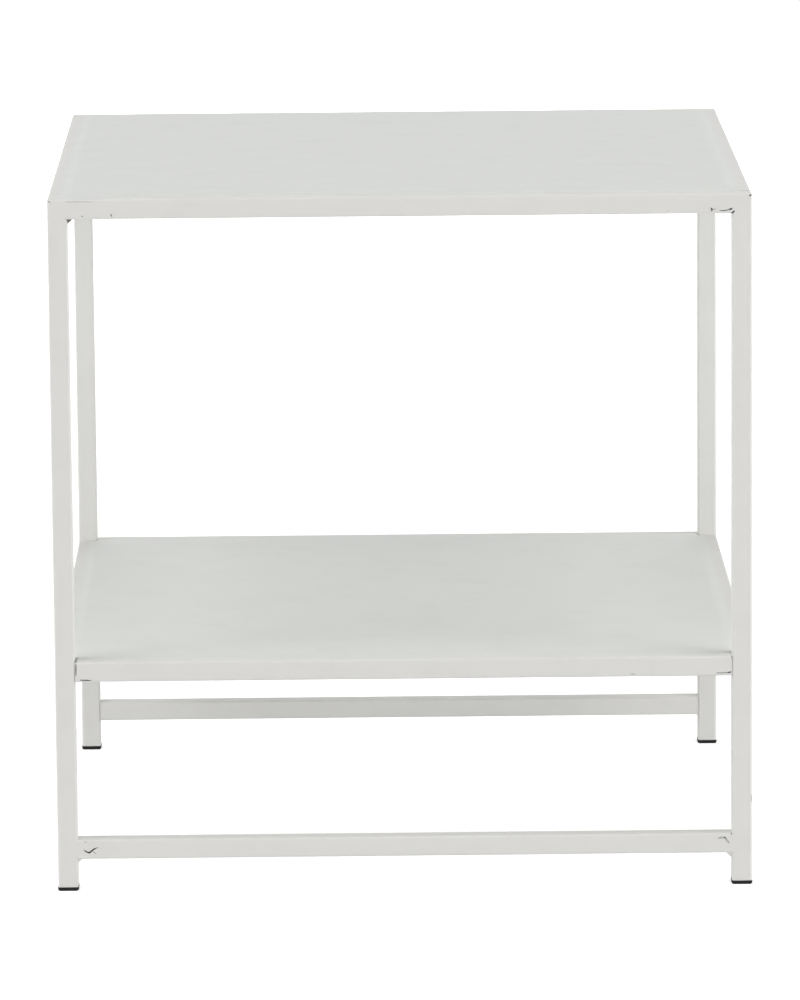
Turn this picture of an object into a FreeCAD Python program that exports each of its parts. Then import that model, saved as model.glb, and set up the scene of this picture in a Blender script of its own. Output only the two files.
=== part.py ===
import FreeCAD, Part
import math
import os
from FreeCAD import Vector

# A side table: an open cube of welded square tube with a sheet top and a sheet shelf.
# Front is -Y, up is +Z, and the origin lies on the floor under the middle of the table.

# Driving dimensions, in millimetres
table_width = 450.0  # over the legs, along X
table_depth = 450.0  # over the legs, along Y
frame_height = 452.0  # floor to the upper face of the top rails
shelf_height = 151.0  # floor to the upper face of the shelf rails
stretcher_height = 34.0  # floor to the upper face of the stretchers

# Square tube
tube_size = 13.0
tube_wall = 1.0
tube_corner_radius = 1.5
tube_bore_radius = 0.5

# Caps on the legs' upper ends
cap_thickness = 1.5
cap_edge_radius = 1.2

# Sheet panels with turned-down edges
sheet_thickness = 1.0
sheet_inner_bend = 0.8
sheet_corner_extra = 0.7  # added to the bend radius at the four upright corners
sheet_rise = 1.0  # the panel's face above the rails
sheet_edge_depth = 10.0  # from the panel's face down to the edge of its lip
sheet_seat_gap = 0.2  # between the lip and the rail
sheet_corner_notch = 3.0  # what is cut out of the lips where they meet

# Plugs in the legs' lower ends
foot_height = 2.5
foot_overhang = 0.25  # of the pad past each face of the tube
foot_edge_bevel = 0.8
foot_stem_length = 14.0
foot_stem_wall = 1.6
foot_stem_bevel = 1.0
foot_lead_in = 0.7
foot_rib_reach = 1.3
foot_rib_thickness = 0.8
foot_rib_gap = 0.1
foot_rib_count = 4

# Welds
bead_size = 2.5
bead_crown = 0.3
fill_trim_angle = 15.0  # degrees of the tube's corner left bare at each end of its fill
seam_upper_angle = 30.0  # degrees down the rail's round corner, where the seam weld first touches it
seam_lower_angle = 75.0  # degrees down the same corner, where it ends
stitch_length = 20.0
stitch_drop = 2.0
stitch_place_shares = (-0.6, 0.0, 0.6)  # of half the panel's side

# A round edge takes up at most this share of the wall or corner that it is on
edge_most_share = 0.8

# One overrun serves all cuts
overrun = 1.0

# Worked out from the sizes above
half_width = table_width / 2
half_depth = table_depth / 2
inner_x = half_width - tube_size
inner_y = half_depth - tube_size
flat_run = tube_size - 2 * tube_corner_radius
bore_size = tube_size - 2 * tube_wall
sheet_outer_bend = sheet_inner_bend + sheet_thickness

origin = Vector(0, 0, 0)
x_axis = Vector(1, 0, 0)
y_axis = Vector(0, 1, 0)
z_axis = Vector(0, 0, 1)
all_axes = x_axis + y_axis + z_axis
parallel_share = 0.99


# The edges of a shape that run straight along one axis.
def edges_along(shape, axis):
    found = []
    for edge in shape.Edges:
        run = edge.Vertexes[-1].Point - edge.Vertexes[0].Point
        if abs(run.dot(axis)) > parallel_share * edge.Length:
            found.append(edge)
    return found


# The edges of a shape that lie flat at one height.
def edges_at_height(shape, height):
    box_edges = []
    for edge in shape.Edges:
        low = edge.BoundBox.ZMin
        high = edge.BoundBox.ZMax
        if math.isclose(low, height, abs_tol=1e-4) and math.isclose(high, height, abs_tol=1e-4):
            box_edges.append(edge)
    return box_edges


# A box from its low corner, with the edges along one axis rounded.
def rounded_box(corner, size, axis, radius):
    box = Part.makeBox(size.x, size.y, size.z, corner)
    return box.makeFillet(radius, edges_along(box, axis))


# A box from its low corner, with the edges along one axis cut off flat.
def bevelled_box(corner, size, axis, bevel):
    box = Part.makeBox(size.x, size.y, size.z, corner)
    return box.makeChamfer(bevel, edges_along(box, axis))


# A radius or bevel that fits on the walls beside it.
def fitting(radius, *walls):
    return min(radius, edge_most_share * min(walls))


# Square tube from its low corner, along one axis.
def square_tube(corner, length, axis):
    across = all_axes - axis
    outside = rounded_box(corner, across * tube_size + axis * length, axis, tube_corner_radius)
    bore_corner = corner + across * tube_wall - axis * overrun
    bore_extent = across * bore_size + axis * (length + 2 * overrun)
    bore = rounded_box(bore_corner, bore_extent, axis, tube_bore_radius)
    return outside.cut(bore)


# A shape at the front left corner, with its mirror images at the other three.
def four_corners(shape):
    right = shape.mirror(origin, x_axis)
    return {
        "front_left": shape,
        "front_right": right,
        "rear_left": shape.mirror(origin, y_axis),
        "rear_right": right.mirror(origin, y_axis),
    }


# Leg tube, from its plug up to its cap.
def leg():
    foot = Vector(-half_width, -half_depth, foot_height)
    return square_tube(foot, frame_height - cap_thickness - foot_height, z_axis)


# Plate that closes the leg, rounded on its two outer sides to run on from the rails.
def leg_cap():
    corner = Vector(-half_width, -half_depth, frame_height - cap_thickness)
    plate = Part.makeBox(tube_size, tube_size, cap_thickness, corner)
    upright = [edge for edge in edges_along(plate, z_axis) if edge.Vertexes[0].Point.x < -inner_x
               and edge.Vertexes[0].Point.y < -inner_y]
    plate = plate.makeFillet(tube_corner_radius, upright)
    outer = []
    for edge in edges_at_height(plate, frame_height):
        middle = edge.CenterOfMass
        if middle.x < tube_corner_radius - half_width or middle.y < tube_corner_radius - half_depth:
            outer.append(edge)
    return plate.makeFillet(fitting(cap_edge_radius, cap_thickness, tube_corner_radius), outer)


# Plastic plug: a pad under the leg and a hollow stem with ribs that grip the tube's bore.
def foot_plug():
    middle_x = tube_size / 2 - half_width
    middle_y = tube_size / 2 - half_depth

    def low_corner(side, height):
        return Vector(middle_x - side / 2, middle_y - side / 2, height)

    def block(side, low, height, bevel):
        return bevelled_box(low_corner(side, low), Vector(side, side, height), z_axis, bevel)

    pad_side = tube_size + 2 * foot_overhang
    pad_radius = tube_corner_radius + foot_overhang
    pad = rounded_box(low_corner(pad_side, 0), Vector(pad_side, pad_side, foot_height), z_axis, pad_radius)
    pad = pad.makeChamfer(fitting(foot_edge_bevel, foot_height, pad_radius), edges_at_height(pad, 0))
    rib_side = bore_size - 2 * foot_rib_gap
    stem_side = rib_side - 2 * foot_rib_reach
    stem = block(stem_side, foot_height, foot_stem_length, foot_stem_bevel)
    lead_in = fitting(foot_lead_in, foot_stem_bevel)
    stem = stem.makeChamfer(lead_in, edges_at_height(stem, foot_height + foot_stem_length))
    plug = pad.fuse(stem)
    pitch = (foot_stem_length - lead_in) / foot_rib_count
    for number in range(foot_rib_count):
        rib_low = foot_height + pitch * (number + 1) - foot_rib_thickness
        plug = plug.fuse(block(rib_side, rib_low, foot_rib_thickness, tube_bore_radius))
    hollow_side = stem_side - 2 * foot_stem_wall
    hollow_height = foot_stem_length + overrun
    hollow = Part.makeBox(hollow_side, hollow_side, hollow_height, low_corner(hollow_side, foot_height))
    return plug.cut(hollow).removeSplitter()


# Rail between the front legs.
def front_rail(top):
    return square_tube(Vector(-inner_x, -half_depth, top - tube_size), 2 * inner_x, x_axis)


# Rail between the left legs.
def left_rail(top):
    return square_tube(Vector(-half_width, -inner_y, top - tube_size), 2 * inner_y, y_axis)


# The four rails under a panel.
def rail_ring(top):
    front = front_rail(top)
    left = left_rail(top)
    return {
        "front": front,
        "rear": front.mirror(origin, y_axis),
        "left": left,
        "right": left.mirror(origin, x_axis),
    }


# Sheet panel between four rails: a flat face, a bend all round and a lip open at its corners.
def sheet_panel(rail_top):
    face = rail_top + sheet_rise
    low = face - sheet_edge_depth

    def dished_block(inset, height_low, height_high, radius):
        side_x = 2 * (inner_x - sheet_seat_gap - inset)
        side_y = 2 * (inner_y - sheet_seat_gap - inset)
        corner = Vector(-side_x / 2, -side_y / 2, height_low)
        size = Vector(side_x, side_y, height_high - height_low)
        block = rounded_box(corner, size, z_axis, radius + sheet_corner_extra)
        return block.makeFillet(radius, edges_at_height(block, height_high))

    outside = dished_block(0, low, face, sheet_outer_bend)
    inside = dished_block(sheet_thickness, low - overrun, face - sheet_thickness, sheet_inner_bend)
    panel = outside.cut(inside)
    notch_reach = sheet_corner_notch + overrun
    notch_corner = Vector(
        sheet_seat_gap - inner_x - overrun,
        sheet_seat_gap - inner_y - overrun,
        low - overrun,
    )
    notch_height = sheet_edge_depth - sheet_outer_bend + overrun
    notch = Part.makeBox(notch_reach, notch_reach, notch_height, notch_corner)
    for shape in four_corners(notch).values():
        panel = panel.cut(shape)
    return panel


# Weld bead with one corner on the Y axis: it reaches along +X and down, with a crowned face.
def bead(reach, drop, length):
    start = Vector(0, -length / 2, 0)
    along = start + x_axis * reach
    down = start - z_axis * drop
    outward = Vector(drop, 0, -reach).normalize()
    crown = (along + down) * 0.5 + outward * bead_crown
    outline = Part.Wire([
        Part.makeLine(down, start),
        Part.makeLine(start, along),
        Part.Arc(along, crown, down).toShape(),
    ])
    return Part.Face(outline).extrude(y_axis * length)


# The same bead turned to reach along +Y.
def turned(shape):
    copy = shape.copy()
    copy.rotate(origin, z_axis, 90)
    return copy


def moved(shape, place):
    copy = shape.copy()
    copy.translate(place)
    return copy


# Bead under the left end of the front rail, against the leg.
def bead_under_front_rail(top):
    place = Vector(-inner_x, tube_size / 2 - half_depth, top - tube_size)
    return moved(bead(bead_size, bead_size, flat_run), place)


# Bead under the front end of the left rail, against the leg.
def bead_under_left_rail(top):
    place = Vector(tube_size / 2 - half_width, -inner_y, top - tube_size)
    return moved(turned(bead(bead_size, bead_size, flat_run)), place)


# Ground weld that fills the groove between a leg's round corner and the end of a rail.
# It is drawn beside the point where the leg's two faces would meet, with the leg towards -X and +Y.
def joint_fill(height):
    radius = tube_corner_radius
    trim = math.radians(fill_trim_angle)
    centre = Vector(-radius, radius, 0)

    def on_corner(angle):
        return centre + Vector(radius * math.sin(angle), -radius * math.cos(angle), 0)

    near_face = on_corner(trim)
    middle = on_corner(math.radians(45))
    near_rail = on_corner(math.radians(90) - trim)
    on_rail = Vector(0, near_rail.y, 0)
    on_face = Vector(near_face.x, 0, 0)
    outline = Part.Wire([
        Part.makeLine(origin, on_rail),
        Part.makeLine(on_rail, near_rail),
        Part.Arc(near_rail, middle, near_face).toShape(),
        Part.makeLine(near_face, on_face),
        Part.makeLine(on_face, origin),
    ])
    column = Part.Face(outline).extrude(z_axis * height)
    rail_corner = Vector(-radius, 0, 0)
    rail_outline = rounded_box(rail_corner, Vector(radius, tube_size, tube_size), x_axis, radius)
    return column.common(rail_outline)


# Fills at the four corners, in the front and rear faces.
def fills_beside_front_rail(top, height):
    fill = moved(joint_fill(height), Vector(-inner_x, -half_depth, top - tube_size))
    return list(four_corners(fill).values())


# Fills at the four corners, in the side faces.
def fills_beside_left_rail(top, height):
    swapped = joint_fill(height).mirror(origin, x_axis - y_axis)
    fill = moved(swapped, Vector(-half_width, -inner_y, top - tube_size))
    return list(four_corners(fill).values())


# Short beads that join a panel's lip to its rails, from below.
def panel_stitches(rail_top):
    height = rail_top + sheet_rise - sheet_edge_depth
    stitch = bead(sheet_seat_gap + sheet_thickness, stitch_drop, stitch_length)
    stitches = []
    for share in stitch_place_shares:
        left = moved(stitch, Vector(-inner_x, share * inner_y, height))
        front = moved(turned(stitch), Vector(share * inner_x, -inner_y, height))
        stitches += [left, left.mirror(origin, x_axis), front, front.mirror(origin, y_axis)]
    return stitches


# The crossing of a round's tangents at two angles, which are from upright towards +X.
def tangents_cross(centre, radius, first, second):
    middle = (first + second) / 2
    reach = radius / math.cos((second - first) / 2)
    return centre + Vector(reach * math.sin(middle), 0, reach * math.cos(middle))


# The place at one height on a round's tangent.
def tangent_at(height, centre, radius, angle):
    reach = (radius - (height - centre.z) * math.cos(angle)) / math.sin(angle)
    return Vector(centre.x + reach, 0, height)


# Section of the seam weld beside a panel, ground level with the rail, which is towards -X.
# Flat sides touch the rail's round corner and the panel's bend.
def seam_outline():
    upper = math.radians(seam_upper_angle)
    lower = math.radians(seam_lower_angle)
    rail_round = Vector(-tube_corner_radius, 0, -tube_corner_radius)
    panel_bend = Vector(sheet_seat_gap + sheet_outer_bend, 0, sheet_rise - sheet_outer_bend)
    bend_share_below = max(sheet_outer_bend - sheet_rise, 0) / sheet_outer_bend
    level_angle = math.acos(bend_share_below)
    panel_angle = -(level_angle + math.pi / 2) / 2
    end = tangents_cross(rail_round, tube_corner_radius, lower, lower)
    return [
        tangent_at(0, rail_round, tube_corner_radius, upper),
        tangents_cross(rail_round, tube_corner_radius, upper, lower),
        end,
        tangent_at(end.z, panel_bend, sheet_outer_bend, panel_angle),
        tangent_at(0, panel_bend, sheet_outer_bend, panel_angle),
    ]


# Seam welds along a panel's four sides, with a small one in each corner.
def panel_seams(rail_top):
    points = seam_outline()
    outline = Part.Face(Part.makePolygon([*points, points[0]]))
    depth = -points[2].z
    inset = points[-1].x
    side_length = 2 * (inner_y - inset)
    left = outline.extrude(y_axis * side_length)
    left = moved(left, Vector(-inner_x, -side_length / 2, rail_top))
    front = outline.extrude(y_axis * 2 * inner_x)
    front = moved(turned(front), Vector(inner_x, -inner_y, rail_top))
    upright_radius = sheet_outer_bend + sheet_corner_extra
    corner_reach = 2 * (sheet_seat_gap + upright_radius) - math.sqrt(2) * upright_radius - 2 * inset
    corner = Vector(inset - inner_x, inset - inner_y, rail_top - depth)
    triangle = [corner, corner + x_axis * corner_reach, corner + y_axis * corner_reach, corner]
    corner_piece = Part.Face(Part.makePolygon(triangle)).extrude(z_axis * depth)
    sides = [left, left.mirror(origin, x_axis), front, front.mirror(origin, y_axis)]
    return sides + list(four_corners(corner_piece).values())


# Every node by its name
nodes = {}
for place, shape in four_corners(leg()).items():
    nodes["leg_" + place] = shape
for place, shape in four_corners(leg_cap()).items():
    nodes["leg_cap_" + place] = shape
for place, shape in four_corners(foot_plug()).items():
    nodes["foot_plug_" + place] = shape
for place, shape in rail_ring(frame_height).items():
    nodes["top_rail_" + place] = shape
for place, shape in rail_ring(shelf_height).items():
    nodes["shelf_rail_" + place] = shape
nodes["stretcher_front"] = front_rail(stretcher_height)
nodes["stretcher_rear"] = nodes["stretcher_front"].mirror(origin, y_axis)
nodes["top_panel"] = sheet_panel(frame_height)
nodes["shelf_panel"] = sheet_panel(shelf_height)

top_beads = [
    *four_corners(bead_under_front_rail(frame_height)).values(),
    *four_corners(bead_under_left_rail(frame_height)).values(),
]
rear_shelf_bead = bead_under_front_rail(shelf_height).mirror(origin, y_axis)
shelf_beads = [
    rear_shelf_bead,
    rear_shelf_bead.mirror(origin, x_axis),
    *four_corners(bead_under_left_rail(shelf_height)).values(),
]
nodes["weld_beads_top_rails"] = Part.makeCompound(top_beads)
nodes["weld_beads_shelf_rails"] = Part.makeCompound(shelf_beads)
nodes["weld_beads_stretchers"] = Part.makeCompound(
    list(four_corners(bead_under_front_rail(stretcher_height)).values()))
under_cap = tube_size - cap_thickness
nodes["weld_fill_top_joints"] = Part.makeCompound(
    fills_beside_front_rail(frame_height, under_cap) + fills_beside_left_rail(frame_height, under_cap))
nodes["weld_fill_stretchers"] = Part.makeCompound(fills_beside_front_rail(stretcher_height, tube_size))
nodes["weld_seams_top_panel"] = Part.makeCompound(panel_seams(frame_height))
nodes["weld_seams_shelf_panel"] = Part.makeCompound(panel_seams(shelf_height))
nodes["weld_stitches_top_panel"] = Part.makeCompound(panel_stitches(frame_height))
nodes["weld_stitches_shelf_panel"] = Part.makeCompound(panel_stitches(shelf_height))

os.makedirs("parts", exist_ok=True)
for name, shape in nodes.items():
    shape.exportStep("parts/" + name + ".step")
    print(name, "solids", len(shape.Solids), "valid", shape.isValid(), "volume", round(shape.Volume, 1))
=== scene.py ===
import bpy
import math
import numpy as np
from mathutils import Matrix, Vector
from mathutils.bvhtree import BVHTree


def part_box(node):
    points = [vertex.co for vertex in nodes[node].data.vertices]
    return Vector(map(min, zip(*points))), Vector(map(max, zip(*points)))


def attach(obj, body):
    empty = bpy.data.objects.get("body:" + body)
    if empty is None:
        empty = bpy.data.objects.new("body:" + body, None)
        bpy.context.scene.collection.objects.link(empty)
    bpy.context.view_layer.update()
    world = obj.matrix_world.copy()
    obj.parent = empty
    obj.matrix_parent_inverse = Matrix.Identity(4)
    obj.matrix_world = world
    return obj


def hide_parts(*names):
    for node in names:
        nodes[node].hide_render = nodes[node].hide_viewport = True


mm = 0.001  # metres

print("stage: loading the table's steelwork")
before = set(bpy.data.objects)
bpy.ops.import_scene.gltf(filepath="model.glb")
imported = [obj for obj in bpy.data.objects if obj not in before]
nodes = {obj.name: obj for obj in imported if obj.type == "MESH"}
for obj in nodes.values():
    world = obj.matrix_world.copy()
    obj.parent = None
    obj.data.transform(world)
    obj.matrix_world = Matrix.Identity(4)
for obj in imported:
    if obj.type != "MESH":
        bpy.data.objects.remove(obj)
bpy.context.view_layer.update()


def addObject(name, data):
    made = bpy.data.objects.new(name, data)
    bpy.context.scene.collection.objects.link(made)
    return made


# Camera, at the photograph's place

camera = {
    "place": (-33.7, -4672.99, 1046.56),  # mm
    "turn": 0.00727,       # radians, to the right of straight at the front
    "tip": 0.17601,        # radians, down from level
    "roll": -0.00857,      # radians
    "film": 36,            # mm, along the picture's long side
    "lens": 253.19,        # mm
    "sight": (0.05, 60),   # metres, the nearest and the farthest that it sees
}


def aimCamera():
    # forward from turn and tip, then the right and top directions rolled about it
    turn, tip, roll = camera["turn"], camera["tip"], camera["roll"]
    forward = Vector((math.sin(turn) * math.cos(tip), math.cos(turn) * math.cos(tip), -math.sin(tip)))
    side = Vector((math.cos(turn), -math.sin(turn), 0))
    up = side.cross(forward)
    right = math.cos(roll) * side + math.sin(roll) * up
    top = -math.sin(roll) * side + math.cos(roll) * up
    data = bpy.data.cameras.new("photoCamera")
    data.sensor_width = camera["film"]
    data.lens = camera["lens"]
    data.clip_start, data.clip_end = camera["sight"]
    eye = addObject("photoCamera", data)
    facing = Matrix((right, top, -forward)).transposed().to_4x4()
    eye.matrix_world = Matrix.Translation(Vector(camera["place"]) * mm) @ facing
    bpy.context.scene.camera = eye


print("stage: camera")
aimCamera()


# Shader maths

class Number:
    # a number socket, on which + - * and atLeast each add one Math node
    def __init__(self, paint, socket):
        self.paint = paint
        self.socket = socket

    def __add__(self, other):
        return self.paint.math("ADD", self, other)

    def __sub__(self, other):
        return self.paint.math("SUBTRACT", self, other)

    def __rsub__(self, other):
        return self.paint.math("SUBTRACT", other, self)

    def __mul__(self, other):
        return self.paint.math("MULTIPLY", self, other)

    def atLeast(self, other):
        return self.paint.math("MAXIMUM", self, other)

    __radd__ = __add__
    __rmul__ = __mul__


class Paint:
    # the node tree of a material or of the world, emptied and filled anew
    def __init__(self, owner):
        owner.use_nodes = True
        self.owner = owner
        self.tree = owner.node_tree
        self.tree.nodes.clear()

    def node(self, kind, settings=None, sockets=None):
        # a socket goes by name or number and takes a value, a Number, a node or a node's output
        made = self.tree.nodes.new(kind)
        for key, value in (settings or {}).items():
            setattr(made, key, value)
        for key, value in (sockets or {}).items():
            self.feed(made.inputs[key], value)
        return made

    def feed(self, socket, value):
        if isinstance(value, Number):
            value = value.socket
        elif isinstance(value, bpy.types.Node):
            value = value.outputs[0]
        if isinstance(value, bpy.types.NodeSocket):
            self.tree.links.new(value, socket)
        else:
            socket.default_value = value

    def math(self, operation, first, second):
        made = self.node("ShaderNodeMath", {"operation": operation}, {0: first, 1: second})
        return Number(self, made.outputs[0])

    def place(self):
        # in metres from the table's own origin, as every node has it
        return self.node("ShaderNodeTexCoord").outputs["Object"]

    def noise(self, place, scale, layers=2, rough=0.5):
        made = self.node("ShaderNodeTexNoise", sockets={
            "Vector": place, "Scale": scale, "Detail": layers, "Roughness": rough})
        return Number(self, made.outputs[0])

    def ramp(self, value, low, high, course="SMOOTHSTEP"):
        # 0 below low, 1 above high
        made = self.node("ShaderNodeMapRange", {"interpolation_type": course},
                         {"Value": value, "From Min": low, "From Max": high})
        return Number(self, made.outputs[0])

    def blend(self, share, first, second):
        # a Mix node's colours go in at 6 and 7 and come out at 2
        return self.node("ShaderNodeMix", {"data_type": "RGBA"}, {0: share, 6: first, 7: second}).outputs[2]

    def bump(self, height):
        # the height is in metres, so a distance of 1 keeps it true to size
        return self.node("ShaderNodeBump", sockets={"Height": height, "Distance": 1.0, "Strength": 1.0})

    def rays(self):
        # 1 for what looks on directly or through something clear, and 1 for what looks by way of a sheen
        path = self.node("ShaderNodeLightPath").outputs
        seen = Number(self, path["Is Camera Ray"]).atLeast(path["Is Transmission Ray"])
        return seen, Number(self, path["Is Glossy Ray"])

    def finish(self, look):
        shader = self.node("ShaderNodeBsdfPrincipled", sockets=look)
        self.node("ShaderNodeOutputMaterial", sockets={"Surface": shader})
        return self.owner


noiseMiddle = 0.5  # a noise runs from 0 to 1


# Powder coat

powderCoat = {
    "colour": (0.80, 0.792, 0.768, 1),
    "thinColour": (0.775, 0.768, 0.748, 1),  # where the powder lies thinner
    "thinShare": 0.6,            # how much of that colour shows there
    "thinRange": (0.46, 0.72),   # of the slow noise, where thinner patches start and are thinnest
    "roughness": 0.40,
    "slowSpread": 0.10,          # how much of it changes with the waves
    "fineSpread": 0.05,          # and with the orange peel
    "peelScale": 620,            # per metre, the fine orange peel
    "peelHeight": 0.012 * mm,
    "waveScale": 42,             # per metre, the slow unevenness
    "waveHeight": 0.02 * mm,
    "ior": 1.5,                  # index of refraction
}

paintedCoolLightSheetCoat = {
    **powderCoat,
    "colour": (0.777, 0.792, 0.763, 1),  # painted cool light: the panels face up, and the cooler light from above is painted into their colour, a little cooler than the tube's
    "thinColour": (0.752, 0.768, 0.743, 1),
    "waveHeight": 0.05 * mm,             # and wavier, being sheet
}

weldPowderCoat = {
    **powderCoat,
    "waveHeight": 0.03 * mm,
}


def makePowderCoat(name, coat):
    paint = Paint(bpy.data.materials.new(name))
    here = paint.place()
    slow = paint.noise(here, coat["waveScale"], layers=3)
    fine = paint.noise(here, coat["peelScale"], rough=0.6)
    thin = paint.ramp(slow, *coat["thinRange"]) * coat["thinShare"]
    rough = coat["roughness"] + (slow - noiseMiddle) * coat["slowSpread"]
    return paint.finish({
        "Base Color": paint.blend(thin, coat["colour"], coat["thinColour"]),
        "Roughness": rough + (fine - noiseMiddle) * coat["fineSpread"],
        "Normal": paint.bump(fine * coat["peelHeight"] + slow * coat["waveHeight"]),
        "IOR": coat["ior"],
    })


print("stage: powder coat")
tubeCoat = makePowderCoat("powderCoatOnTube", powderCoat)
# the panels and their seams get the coat with the painted cool light from above
coolLitPanelCoat = makePowderCoat("powderCoatWithPaintedCoolLight", paintedCoolLightSheetCoat)
weldCoat = makePowderCoat("powderCoatOnWeld", weldPowderCoat)


# Plug plastic

plugPlastic = {
    "colour": (0.012, 0.0115, 0.011, 1),
    "dustColour": (0.035, 0.033, 0.031, 1),
    "dustShare": 0.7,            # how much of that colour shows where dust lies
    "dustHeight": 1.2 * mm,      # dust clings up to here
    "dustScale": 700,            # per metre
    "dustRange": (0.4, 0.7),     # of its noise, where dust starts and lies thickest
    "dustRoughness": 0.3,        # added by dust
    "roughness": 0.55,
    "shine": 0.3,                # less than a usual plastic's 0.5
    "grainScale": 1900,          # per metre
    "grainHeight": 0.02 * mm,
}


def makePlugPlastic(plastic):
    paint = Paint(bpy.data.materials.new("plugPlastic"))
    here = paint.place()
    height = paint.node("ShaderNodeSeparateXYZ", sockets={0: here}).outputs["Z"]
    patches = paint.ramp(paint.noise(here, plastic["dustScale"], layers=3), *plastic["dustRange"])
    dust = (1 - paint.ramp(height, 0, plastic["dustHeight"])) * patches
    grain = paint.noise(here, plastic["grainScale"])
    return paint.finish({
        "Base Color": paint.blend(dust * plastic["dustShare"], plastic["colour"], plastic["dustColour"]),
        "Roughness": plastic["roughness"] + dust * plastic["dustRoughness"],
        "Normal": paint.bump(grain * plastic["grainHeight"]),
        "Specular IOR Level": plastic["shine"],
    })


print("stage: plug plastic")
blackPlastic = makePlugPlastic(plugPlastic)


# Bare and dark grey steel, coat that is scratched or stained, and painted shade for a crease

darkSteel = {
    "colour": (0.012, 0.012, 0.013, 1),      # where a chip has gone through the coat
    "dullColour": (0.045, 0.043, 0.041, 1),  # in its blotches
    "blotchScale": 900,                      # per metre
    "blotchRange": (0.42, 0.68),             # of their noise, where they start and are dullest
    "blotchRoughness": 0.15,                 # added by them
    "roughness": 0.55,
    "shine": 0.2,
    "grainScale": 2600,                      # per metre
    "grainHeight": 0.02 * mm,
}

darkGreySteel = {
    **darkSteel,
    "colour": (0.12, 0.118, 0.113, 1),  # dark grey, for one weld bead
    "dullColour": (0.26, 0.256, 0.247, 1),
    "roughness": 0.6,
    "grainScale": 1800,
}

thinCoat = {
    **darkSteel,
    "colour": (0.30, 0.295, 0.285, 1),  # a scratch that hasn't gone right through
    "dullColour": (0.42, 0.415, 0.40, 1),
    "roughness": 0.6,
    "shine": 0.3,
    "grainHeight": 0.01 * mm,
}

creaseShadeTone = {
    **thinCoat,
    "colour": (0.66, 0.655, 0.635, 1),  # painted shade of a crease in the filler, which is coated over
    "dullColour": (0.70, 0.695, 0.675, 1),
    "roughness": 0.5,
    "shine": 0.4,
}

sootyCoat = {
    **thinCoat,
    "colour": (0.44, 0.435, 0.42, 1),  # weld soot that has spread thinly under the coat
    "dullColour": (0.58, 0.575, 0.56, 1),
    "roughness": 0.45,
    "shine": 0.4,
    "grainScale": 1400,
}


def makeSteel(name, steel):
    paint = Paint(bpy.data.materials.new(name))
    here = paint.place()
    blotch = paint.ramp(paint.noise(here, steel["blotchScale"], layers=3), *steel["blotchRange"])
    grain = paint.noise(here, steel["grainScale"])
    return paint.finish({
        "Base Color": paint.blend(blotch, steel["colour"], steel["dullColour"]),
        "Roughness": steel["roughness"] + blotch * steel["blotchRoughness"],
        "Normal": paint.bump(grain * steel["grainHeight"]),
        "Specular IOR Level": steel["shine"],
    })


print("stage: bare, burnt and marked steel")
bareSteel = makeSteel("bareSteel", darkSteel)
darkGreyBead = makeSteel("darkGreyBead", darkGreySteel)
scratchedCoat = makeSteel("scratchedCoat", thinCoat)
# painted shade for a crease in the filler
creaseShadeCoat = makeSteel("creaseShadeCoat", creaseShadeTone)
stainedCoat = makeSteel("stainedCoat", sootyCoat)


# Finishes of the steelwork

print("stage: finishes of the steelwork")
for name, obj in nodes.items():
    if name.startswith("foot_plug"):
        finish = blackPlastic
    elif name.endswith("panel") and not name.startswith("weld"):
        finish = coolLitPanelCoat
    else:
        finish = tubeCoat
    for slot in obj.material_slots:
        slot.material = finish
    if not obj.material_slots:
        obj.data.materials.append(finish)


# Shapes worked out on grids

sharpAngle = math.radians(38)  # an edge that turns by more than this looks sharp
unevenWaves = ((1, 1, 1), (0.6, 1.7, 2.1), (0.4, 2.9, 3.7))  # each one's height, turns in a pitch, shift


def wander(s, pitch, seed):
    # three sines of unlike lengths added up: a slow unevenness between about -1 and 1
    turn = 2 * math.pi / pitch
    return sum(height * np.sin(turns * s * turn + shift * seed) for height, turns, shift in unevenWaves) / 2


def ease(t):
    # the smooth step from 0 to 1: three t squared less two t cubed
    return t * t * (3 - 2 * t)


def easedStep(value, low, high):
    return ease(np.clip((value - low) / (high - low), 0, 1))


def roundEnds(t, power, least):
    # from t = -1 to 1, the square root of 1 - |t|^power: full but for both ends, which round off
    return np.sqrt(np.clip(1 - np.abs(t) ** power, least, 1))


def addPiece(name, grids, finish, ring=False):
    # a grid's rows run along the piece and its columns go round a closed section;
    # a ring joins its last row to its first, and anything else gets a flat end on both
    points, faces, start = [], [], 0
    for grid in grids:
        rows, columns = grid.shape[:2]
        at = start + np.arange(rows * columns).reshape(rows, columns)
        run = np.vstack([at, at[:1]]) if ring else at
        beside = np.roll(run, -1, axis=1)
        quads = np.stack([run[:-1], run[1:], beside[1:], beside[:-1]], -1).reshape(-1, 4)
        flat = grid.reshape(-1, 3)
        a, b, c, d = (flat[quads[:, k] - start] - flat.mean(0) for k in range(4))
        # a multiple of the volume, which is below zero where the faces look inwards
        volume = (np.cross(b - a, c - a) * (a + b + c) + np.cross(c - a, d - a) * (a + c + d)).sum()
        part = quads.tolist()
        if not ring:
            part += [at[0].tolist(), at[-1][::-1].tolist()]
        if volume < 0:
            part = [face[::-1] for face in part]
        points.append(flat)
        faces += part
        start += rows * columns
    mesh = bpy.data.meshes.new(name)
    mesh.from_pydata((np.concatenate(points) * mm).tolist(), [], faces)
    mesh.polygons.foreach_set("use_smooth", np.ones(len(mesh.polygons), bool))
    mesh.set_sharp_from_angle(angle=sharpAngle)
    mesh.materials.append(finish)
    piece = addObject(name, mesh)
    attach(piece, "root")
    return piece


# The sizes that the pieces below sit on, read from the steelwork, in mm

def boxOf(node):
    lowCorner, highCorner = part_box(node)
    return np.array(lowCorner) / mm, np.array(highCorner) / mm


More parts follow.
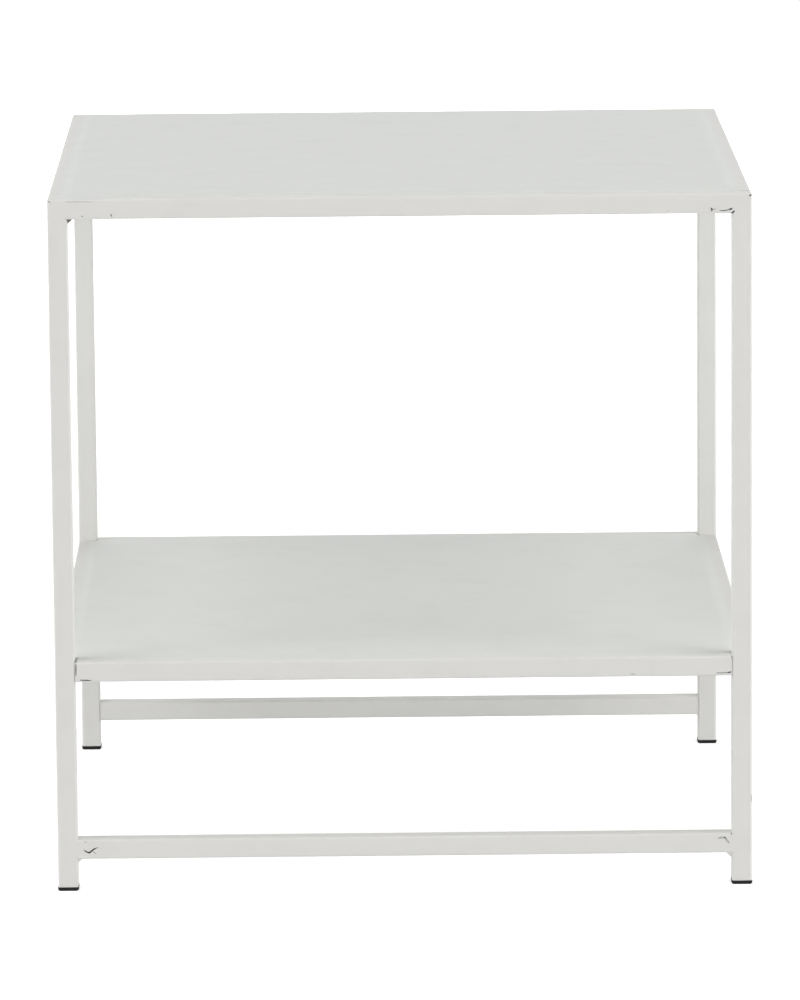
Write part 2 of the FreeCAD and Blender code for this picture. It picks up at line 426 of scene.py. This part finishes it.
legLow, legHigh = boxOf("leg_front_left")
halfWidth = -legLow[0]
innerFace = -legHigh[0]
tubeSize = halfWidth - innerFace
levels = {
    "top": boxOf("top_rail_front")[1][2],
    "shelf": boxOf("shelf_rail_front")[1][2],
    "stretcher": boxOf("stretcher_front")[1][2],
}
panelHalf = boxOf("top_panel")[1][0]
panelRise = boxOf("top_panel")[1][2] - levels["top"]
rightward, backward, upward = np.eye(3)


# Weld beads in the inner corners

weldBead = {
    "reach": 2.3,           # mm, along the rail
    "drop": 2.3,            # mm, down the leg
    "length": 11.4,         # mm
    "crown": 1.75,          # 2 is a flat face, 1 a quarter round
    "ripplePitch": 1.5,     # mm
    "rippleShare": 0.07,
    "unevenShare": 0.05,
    "unevenPitch": 7.0,     # mm
    "endPower": 7,          # the higher, the shorter its rounded ends
    "leastEnd": 0.02,       # the square of its size at the very ends
    "sunk": 0.06,           # mm, into the tubes, so that no edge stands off
    "sunkShare": 0.98,      # of reach and drop, to where its sunk sides go
    "rows": 61,
    "columns": 12,
    "frontSeed": 1.3,
    "sideSeed": 2.7,
    "darkGreySize": (3.2, 2.7),  # mm, reach and drop of the dark grey one
    "darkGreySeed": 0.4,
}


def beadGrid(corner, across, down, along, reach, drop, seed):
    # Section: a quarter superellipse, across * cos^crown and down * sin^crown, closed by the corner itself.
    # Along the bead its size follows |sin| ripples and rounds off at both ends.
    t = np.linspace(-1, 1, weldBead["rows"])
    s = t * weldBead["length"] / 2
    ripple = np.abs(np.sin(math.pi * s / weldBead["ripplePitch"] + seed)) - 0.5
    uneven = weldBead["unevenShare"] * wander(s, weldBead["unevenPitch"], seed)
    size = 1 + weldBead["rippleShare"] * ripple + uneven
    size = (size * roundEnds(t, weldBead["endPower"], weldBead["leastEnd"]))[:, None]
    angle = np.linspace(0, math.pi / 2, weldBead["columns"])
    sunk, share = weldBead["sunk"], weldBead["sunkShare"]
    u = np.concatenate([np.cos(angle) ** weldBead["crown"] * reach, [-sunk, -sunk, reach * share]])
    v = np.concatenate([np.sin(angle) ** weldBead["crown"] * drop, [drop * share, -sunk, -sunk]])
    section = [np.where(w > 0, w * size, w)[..., None] for w in (u, v)]
    return np.array(corner) + (section[0] * across + section[1] * down) + s[:, None, None] * along


def frontBead(side, end, height, reach, drop, seed):
    # under a rail that runs from side to side; side is -1 at the left, end is -1 at the front
    corner = (side * innerFace, end * (halfWidth - tubeSize / 2), height - tubeSize)
    return beadGrid(corner, -side * rightward, -upward, backward, reach, drop, seed)


def sideBead(side, end, height, reach, drop, seed):
    # under a rail that runs from front to rear
    corner = (side * (halfWidth - tubeSize / 2), end * innerFace, height - tubeSize)
    return beadGrid(corner, -end * backward, -upward, rightward, reach, drop, seed)


print("stage: weld beads")
usual = (weldBead["reach"], weldBead["drop"])
beads = {
    # by side and end, as in frontBead: reach and drop in mm
    "top": {(1, -1): (1.1, 0.9), (-1, 1): usual, (1, 1): usual},
    "shelf": {(-1, 1): usual, (1, 1): usual},
    "stretcher": {(-1, -1): (3.0, 2.5), (1, -1): (3.8, 3.8), (-1, 1): (1.0, 0.9), (1, 1): (1.3, 1.2)},
}
plainBeads = {
    "top": "weld_beads_top_rails",
    "shelf": "weld_beads_shelf_rails",
    "stretcher": "weld_beads_stretchers",
}
for level, replaced in plainBeads.items():
    made = [frontBead(side, end, levels[level], *size, weldBead["frontSeed"] * n)
            for n, ((side, end), size) in enumerate(beads[level].items())]
    if level != "stretcher":  # at the sides there are no stretchers
        made += [sideBead(side, end, levels[level], *usual, weldBead["sideSeed"] + side + 2 * end)
                 for side in (-1, 1) for end in (-1, 1)]
    piece = addPiece(level + "WeldBeads", made, weldCoat)
    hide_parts(replaced)
# the front left bead under the top rail, drawn dark grey
darkGreyGrid = frontBead(-1, -1, levels["top"], *weldBead["darkGreySize"], weldBead["darkGreySeed"])
darkGrey = addPiece("darkGreyWeldBead", [darkGreyGrid], darkGreyBead)
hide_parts("weld_beads_top_rails")


# Seams round the panels, filled and ground

seam = {
    "cornerRadius": 2.5,    # mm, of the path round the panel
    "bendReach": 1.9,       # mm, from the panel's side in to where its face is flat
    "spread": 6.5,          # mm, how far the filler is drawn out over a rail
    "leastSpread": 0.1,     # mm, on a rail beside a leg
    "spreadRange": (3, 12),  # mm from the leg, where it starts to spread and has its full reach
    "proud": 0.02,          # mm, above the panel and the rail where it is drawn out
    "flushIn": 0.5,         # mm, how far the level strip reaches in over the bend
    "flushOut": 1.3,        # mm, and out over the rail
    "flushProud": 0.015,    # mm, above the rail
    "unevenness": 0.03,     # mm
    "unevenPitch": 34.0,    # mm
    "wayRound": 1780,       # mm, on which the unevenness is laid out
    "seed": 1.7,
    "sunk": 0.06,           # mm, its outer edge into the rail
    "valley": (0.15, 0.02),  # mm, out from the panel's side, both edges of its root
    "rootDepth": 1.0,       # mm
    "innerDepth": 0.1,      # mm, of its inner edge under its face
    "rows": 900,
    "columns": 14,
}

frontFiller = {
    "frontRange": (2, 0.5),        # mm in from the panel's front edge, where the front run begins to
                                   # count and counts in full
    "leftEnd": (-185, -182),       # mm across, where the drawn-out left end stops
    "leftShare": 0.9,              # how much it is drawn out
    "dashesEnd": (-164, -158),     # mm across, where the dashes stop
    "dashesShare": 0.8,
    "dashTurn": 0.9,               # radians in a mm, which gives a dash every 7 mm
    "dashRange": (0.0, 0.6),       # of the sine, where a dash starts and is full
}


def roundedSquare(share, half, radius, offset):
    # a square path with round corners and its offsets, by the share of the way round from the front left:
    # straight runs are the corners' centres joined up, pushed outwards by radius + offset
    straight, arc = 2 * (half - radius), math.pi / 2 * radius
    way = share * 4 * (straight + arc)
    side = np.minimum(np.floor(way / (straight + arc)), 3)
    rest = way - side * (straight + arc)
    square = side * math.pi / 2 - math.pi / 2  # the angle that this side faces
    facing = square + np.clip(rest - straight, 0, arc) / radius
    outward = np.stack([np.cos(facing), np.sin(facing)], -1)
    ahead = np.stack([-np.sin(square), np.cos(square)], -1)
    straightOut = np.stack([np.cos(square), np.sin(square)], -1)
    centre = straightOut * (half - radius) + ahead * (np.minimum(rest, straight) - straight / 2)[..., None]
    return centre + outward * (radius + offset)[..., None]


def seamGrid(share, height, drawnOut, spread):
    # Across the seam: a smooth step from the panel's face down to the rail where it is drawn out,
    # or a level strip between the two where it isn't. Underneath it keeps to the valley.
    share, drawnOut, spread = share[:, None], drawnOut[:, None], spread[:, None]
    v = np.linspace(0, 1, seam["columns"])[None]
    rampOut = -seam["bendReach"] + v * (seam["bendReach"] + spread)
    rampUp = panelRise * (1 - ease(v)) + seam["proud"]
    flushOut = -seam["flushIn"] + v * (seam["flushIn"] + seam["flushOut"])
    out = flushOut + (rampOut - flushOut) * drawnOut
    up = seam["flushProud"] + (rampUp - seam["flushProud"]) * drawnOut
    uneven = seam["unevenness"] * wander(share * seam["wayRound"], seam["unevenPitch"], seam["seed"])
    up = up + uneven * np.sin(math.pi * v)
    zero = np.zeros_like(share)
    outer, inner = seam["valley"]
    out = np.hstack([out, out[:, -1:], zero + outer, zero + inner, out[:, :1]])
    root = zero - seam["rootDepth"]
    up = np.hstack([up, zero - seam["sunk"], root, root, up[:, :1] - seam["innerDepth"]])
    plan = roundedSquare(share, panelHalf, seam["cornerRadius"], out)
    return np.concatenate([plan, (height + up)[..., None]], -1)


def topDrawnOut(spots):
    # all of it but the front, where only the left end is and, in dashes, a little more
    across, forward = spots[:, 0], -spots[:, 1]
    startsAt, fullAt = frontFiller["frontRange"]
    atFront = easedStep(forward, panelHalf - startsAt, panelHalf - fullAt)
    leftEnd = 1 - easedStep(across, *frontFiller["leftEnd"])
    dashes = easedStep(np.sin(across * frontFiller["dashTurn"]), *frontFiller["dashRange"])
    dashes = (1 - easedStep(across, *frontFiller["dashesEnd"])) * dashes
    shares = np.maximum(leftEnd * frontFiller["leftShare"], dashes * frontFiller["dashesShare"])
    return 1 - atFront * (1 - shares)


def shelfSpread(spots):
    # next to nothing on the rails beside the legs
    fromLeg = innerFace - np.minimum(np.abs(spots[:, 0]), np.abs(spots[:, 1]))
    least = seam["leastSpread"]
    return least + (seam["spread"] - least) * easedStep(fromLeg, *seam["spreadRange"])


print("stage: panel seams")
wayShare = np.linspace(0, 1, seam["rows"], endpoint=False)
spots = roundedSquare(wayShare, panelHalf, seam["cornerRadius"], np.zeros_like(wayShare))
topGrid = seamGrid(wayShare, levels["top"], topDrawnOut(spots), np.full_like(wayShare, seam["spread"]))
topSeam = addPiece("topPanelSeam", [topGrid], coolLitPanelCoat, ring=True)
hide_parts("weld_seams_top_panel")
shelfGrid = seamGrid(wayShare, levels["shelf"], np.ones_like(wayShare), shelfSpread(spots))
shelfSeam = addPiece("shelfPanelSeam", [shelfGrid], coolLitPanelCoat, ring=True)
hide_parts("weld_seams_shelf_panel")


# Chips, scratches, weld soot and painted crease shade, laid on the steel from the front and from above

marks = {
    # name: finish, width in mm, shares of it at the two ends, places across and up in mm
    "capChipLeft": (scratchedCoat, 0.6, (0.6, 0.4), [(-224.1, 451.3), (-223.3, 450.6), (-222.5, 449.8)]),
    "capChipRight": (bareSteel, 1.1, (0.6, 0.9), [(224.3, 451.3), (223.9, 450.7), (223.2, 450.0)]),
    "capSeamLeft": (scratchedCoat, 0.35, (0.7, 0.1), [(-213.8, 450.5), (-204.0, 450.5), (-192.5, 450.3)]),
    "darkGreyCorner": (scratchedCoat, 0.6, (0.7, 0.4), [(-213.1, 439.7), (-212.3, 438.8), (-212.2, 437.8)]),
    "railDotLeft": (bareSteel, 0.85, (0.7, 0.7), [(-202.8, 441.3), (-202.1, 441.0)]),
    "railDotLeftTwo": (bareSteel, 0.7, (0.4, 1.1), [(-184.2, 442.6), (-184.1, 441.7), (-183.4, 440.8)]),
    "railHookRight": (bareSteel, 1.05, (0.8, 0.7), [(198.4, 442.8), (199.5, 441.7), (198.6, 440.7)]),
    "railHookTail": (scratchedCoat, 0.5, (0.8, 0.2), [(199.6, 441.8), (201.8, 442.1)]),
    "railLineRight": (bareSteel, 0.62, (0.5, 0.9), [(203.8, 440.9), (207.6, 441.0), (210.4, 441.6)]),
    "railLineEnd": (bareSteel, 1.2, (0.5, 0.9), [(209.8, 441.5), (211.2, 441.9), (212.3, 442.3)]),
    "railDashRight": (bareSteel, 1.15, (1.1, 0.6), [(211.7, 439.1), (212.8, 439.9), (213.8, 440.9)]),
    "railDotRight": (scratchedCoat, 0.7, (0.6, 0.6), [(171.4, 441.3), (171.5, 440.8)]),
    "stretcherHook": (bareSteel, 1.15, (0.6, 0.3), [
        (-208.2, 27.3), (-206.4, 25.9), (-204.5, 25.3), (-202.9, 26.7), (-201.2, 27.9), (-198.8, 28.9)]),
    "stretcherTail": (scratchedCoat, 0.6, (0.8, 0.4), [(-202.5, 26.2), (-200.1, 24.6)]),
    "stretcherFaint": (scratchedCoat, 0.5, (0.6, 0.3), [(-207.8, 32.7), (-206.1, 32.2)]),
    "stretcherBruiseLeft": (stainedCoat, 1.8, (0.2, 1.0), [(202.6, 30.7), (204.6, 31.1), (206.9, 31.2)]),
    "stretcherBruiseRight": (stainedCoat, 1.75, (0.9, 0.2), [(207.2, 31.1), (208.2, 30.0), (210.4, 27.0)]),
    "stretcherBruiseCore": (bareSteel, 1.15, (0.4, 0.5), [(206.4, 31.3), (207.4, 31.2), (207.9, 30.6)]),
    "stretcherEndRight": (bareSteel, 0.6, (0.9, 0.4), [(211.4, 34.2), (212.0, 32.8)]),
    "stretcherSpeckLeft": (scratchedCoat, 0.7, (0.7, 0.5), [(-211.9, 20.9), (-211.2, 20.5)]),
    "shelfDashLeft": (bareSteel, 0.8, (0.9, 0.1), [(-208.9, 139.5), (-206.5, 139.4), (-200.9, 139.2)]),
    "shelfDashRight": (scratchedCoat, 0.8, (0.5, 0.9), [(201.4, 140.1), (206.0, 140.1), (209.4, 140.2)]),
    "shelfDashRightEnd": (bareSteel, 0.9, (0.4, 0.9), [(208.6, 140.2), (210.4, 140.4), (211.6, 140.7)]),
    "shelfJointLeft": (bareSteel, 0.75, (0.8, 0.6), [(-211.2, 150.2), (-211.3, 146.0), (-211.4, 142.0)]),
    "shelfEndRight": (bareSteel, 0.75, (0.4, 0.8), [(211.4, 151.2), (211.9, 150.2), (211.9, 148.9)]),
    "shelfEndLeft": (scratchedCoat, 0.7, (0.5, 0.6), [(-210.9, 152.2), (-211.2, 151.3)]),
    "shelfMark": (scratchedCoat, 0.5, (0.4, 0.3), [(145.9, 139.9), (150.0, 139.8)]),
    "legEdgeChip": (scratchedCoat, 0.5, (0.4, 0.5), [(224.5, 59.5), (224.6, 56.9), (224.5, 54.2)]),
}

marksAbove = {
    # the same, with places across and back, for what is seen on the very top
    "capJointRight": (scratchedCoat, 1.0, (0.1, 1.3), [(216.4, -212.2), (220.5, -212.3), (224.2, -212.5)]),
    # painted shade of a crease in the filler along the front edge, beside the left leg
    "paintedCreaseShade": (creaseShadeCoat, 0.45, (0.3, 0.3), [(-211.0, -224.3), (-200.0, -224.2), (-189.0, -224.3)]),
}

markPieces = {
    # name: finish, and how far its marks stand off the steel in mm, the darker above the paler
    "bareChips": (bareSteel, 0.065),
    "coatScratches": (scratchedCoat, 0.05),
    "sootStains": (stainedCoat, 0.035),
    "paintedCreaseShades": (creaseShadeCoat, 0.035),
}

ribbon = {
    "step": 0.2,                 # mm, between its points along the mark
    "fewestSteps": 6,
    "drift": 0.07,               # mm, how far its line wanders
    "driftPitches": (2.3, 1.9),  # mm
    "fullRange": (0.35, 0.7),    # shares of its length between which it has its whole width
    "widthSpread": 0.25,         # how much the width wanders
    "widthPitch": 1.1,           # mm
    "endPower": 6,               # the higher, the shorter its rounded ends
    "leastEnd": 0.05,            # the square of its width at the very ends
    "flatShare": 0.6,            # of the width, its flat top
    "sunk": 0.05,                # mm, its edges into the steel
    "farOff": 1000,              # mm, from where its points are dropped on the steel
}


def steelTree():
    # every face of the steelwork, for laying marks on
    points, faces, start = [], [], 0
    for obj in nodes.values():
        mesh = obj.data
        flat = np.empty(len(mesh.vertices) * 3)
        mesh.vertices.foreach_get("co", flat)
        points += flat.reshape(-1, 3).tolist()
        faces += [[start + v for v in face.vertices] for face in mesh.polygons]
        start += len(mesh.vertices)
    return BVHTree.FromPolygons(points, faces)


def dropOn(tree, spot, lift, above):
    # a point dropped on the steel straight from the front, or from above, and lifted off it a little;
    # other is its height, or, from above, its place from front to rear
    across, other = spot
    if above:
        start, nearest, ahead = (across, other, ribbon["farOff"]), (across, other, levels["top"]), (0, 0, -1)
    else:
        start, nearest, ahead = (across, -ribbon["farOff"], other), (across, -halfWidth, other), (0, 1, 0)
    place, facing = tree.ray_cast(Vector(start) * mm, Vector(ahead))[:2]
    if place is None:  # it lies just past an outline
        place, facing = tree.find_nearest(Vector(nearest) * mm)[:2]
    return np.array(place + facing * lift * mm) / mm


def markGrid(tree, width, ends, places, lift, seed, above):
    # a ribbon along a bent line: a low trapezium whose width eases from one end share to the other
    # and wanders a little; each of its points is dropped on the steel
    places = np.array(places)
    run = np.concatenate([[0], np.cumsum(np.hypot(*np.diff(places, axis=0).T))])
    s = np.linspace(0, run[-1], max(ribbon["fewestSteps"], int(run[-1] / ribbon["step"])))
    line = np.stack([np.interp(s, run, places[:, 0]), np.interp(s, run, places[:, 1])], -1)
    pitch, otherPitch = ribbon["driftPitches"]
    line += ribbon["drift"] * np.stack([wander(s, pitch, seed), wander(s, otherPitch, seed + 2)], -1)
    ahead = np.gradient(line, axis=0)
    ahead /= np.linalg.norm(ahead, axis=1, keepdims=True)
    aside = np.stack([-ahead[:, 1], ahead[:, 0]], -1)
    t = s / s[-1]
    wide = width / 2 * np.interp(t, [0, *ribbon["fullRange"], 1], [ends[0], 1, 1, ends[1]])
    wide = wide * roundEnds(2 * t - 1, ribbon["endPower"], ribbon["leastEnd"])
    wide = wide * (1 + ribbon["widthSpread"] * wander(s, ribbon["widthPitch"], seed + 4))
    shares = np.array([-1, -ribbon["flatShare"], ribbon["flatShare"], 1])
    lifts = np.array([-ribbon["sunk"], lift, lift, -ribbon["sunk"]])
    flat = line[:, None] + aside[:, None] * (wide[:, None] * shares)[..., None]
    return np.array([[dropOn(tree, spot, up, above) for spot, up in zip(row, lifts)] for row in flat])


print("stage: chips and scratches")
steel = steelTree()
allMarks = [(*mark, False) for mark in marks.values()] + [(*mark, True) for mark in marksAbove.values()]
for name, (finish, lift) in markPieces.items():
    grids = [markGrid(steel, width, ends, places, lift, seed, above)
             for seed, (own, width, ends, places, above) in enumerate(allMarks, start=1) if own is finish]
    addPiece(name, grids, finish)


# Studio

studio = {
    "domeLight": 0.15,            # strength of the even white round the table
    "roomSheen": 0.70,            # how bright the room looks in the coat's own sheen
    "floorColour": (0.86, 0.86, 0.86, 1),
    "floorRoughness": 0.9,
    "floorShine": 0.1,
    "floorReach": 8.0,            # metres, from the middle to each side
    "floorGlow": 0.55,            # light added by the floor near the table
    "floorSheen": 0.4,            # how much of that the coat's own sheen shows
    "farFloorGlow": 0.30,         # and how much more of it there is far away
    "farFloorRange": (0.8, 4.0),  # metres out, where it starts and is full
    "lampsAim": (0, 0, 0.25),     # metres
    "lamps": {
        # name: place, width and height in metres, power in watts
        "leftStripbox": ((-3.6, -1.2, 0.8), (3.0, 1.3), 38.5),
        "rightStripbox": ((3.6, -1.2, 0.8), (3.0, 1.3), 57.5),
        "rearLeftStripbox": ((-3.4, 1.2, 0.9), (3.0, 1.3), 13),
        "frontStripbox": ((0.0, -5.2, 0.8), (4.0, 1.4), 26.5),
        "rearStripbox": ((0.0, 4.2, 0.9), (4.0, 1.4), 64),
        "rearSoftbox": ((0.0, 3.2, 2.2), (3.0, 1.4), 26),
        "frontLeftSoftbox": ((-2.4, -2.4, 2.3), (1.8, 1.6), 11.8),
        "frontRightSoftbox": ((2.4, -2.4, 2.3), (1.8, 1.6), 13.5),
        "upperLeftSoftbox": ((-1.7, -0.6, 2.8), (1.2, 1.6), 23),
        "upperRightSoftbox": ((1.7, -0.6, 2.8), (1.2, 1.6), 21.5),
        "upperFrontSoftbox": ((0.0, -1.7, 2.9), (3.0, 1.0), 3),
    },
}

white = (1, 1, 1, 1)


def makeFloor():
    reach = studio["floorReach"]
    corners = [(-reach, -reach, 0), (reach, -reach, 0), (reach, reach, 0), (-reach, reach, 0)]
    mesh = bpy.data.meshes.new("paperFloor")
    mesh.from_pydata(corners, [], [(0, 1, 2, 3)])
    floor = addObject("paperFloor", mesh)
    paint = Paint(bpy.data.materials.new("paperFloor"))
    seen, sheen = paint.rays()
    seen = seen.atLeast(sheen * studio["floorSheen"])
    away = paint.node("ShaderNodeVectorMath", {"operation": "LENGTH"}, {0: paint.place()}).outputs["Value"]
    far = paint.ramp(away, *studio["farFloorRange"], "LINEAR")
    glow = studio["floorGlow"] + far * studio["farFloorGlow"]
    lamp = paint.node("ShaderNodeEmission", sockets={"Color": white, "Strength": seen * glow})
    paper = paint.node("ShaderNodeBsdfPrincipled", sockets={
        "Base Color": studio["floorColour"],
        "Roughness": studio["floorRoughness"],
        "Specular IOR Level": studio["floorShine"],
    })
    both = paint.node("ShaderNodeAddShader", sockets={0: paper, 1: lamp})
    clear = paint.node("ShaderNodeBsdfTransparent")
    below = paint.node("ShaderNodeNewGeometry").outputs["Backfacing"]  # from there it is clear
    mixed = paint.node("ShaderNodeMixShader", sockets={0: below, 1: both, 2: clear})
    paint.node("ShaderNodeOutputMaterial", sockets={"Surface": mixed})
    floor.data.materials.append(paint.owner)


def makeLights():
    world = bpy.data.worlds.new("whiteRoom")
    bpy.context.scene.world = world
    paint = Paint(world)
    seen, sheen = paint.rays()
    light = studio["domeLight"] + (studio["roomSheen"] - studio["domeLight"]) * sheen
    strength = light + (1 - light) * seen
    room = paint.node("ShaderNodeBackground", sockets={"Color": white, "Strength": strength})
    paint.node("ShaderNodeOutputWorld", sockets={"Surface": room})
    for name, (place, size, power) in studio["lamps"].items():
        data = bpy.data.lights.new(name, "AREA")
        data.shape = "RECTANGLE"
        data.size, data.size_y = size
        data.energy = power
        lamp = addObject(name, data)
        lamp.visible_glossy = False  # the sheen shows the room, not the lamps
        toTable = Vector(studio["lampsAim"]) - Vector(place)
        turned = toTable.to_track_quat("-Z", "Y").to_matrix().to_4x4()
        lamp.matrix_world = Matrix.Translation(place) @ turned


print("stage: floor and lights")
makeFloor()
makeLights()
bpy.context.scene.view_settings.view_transform = "Standard"

print("stage: done")
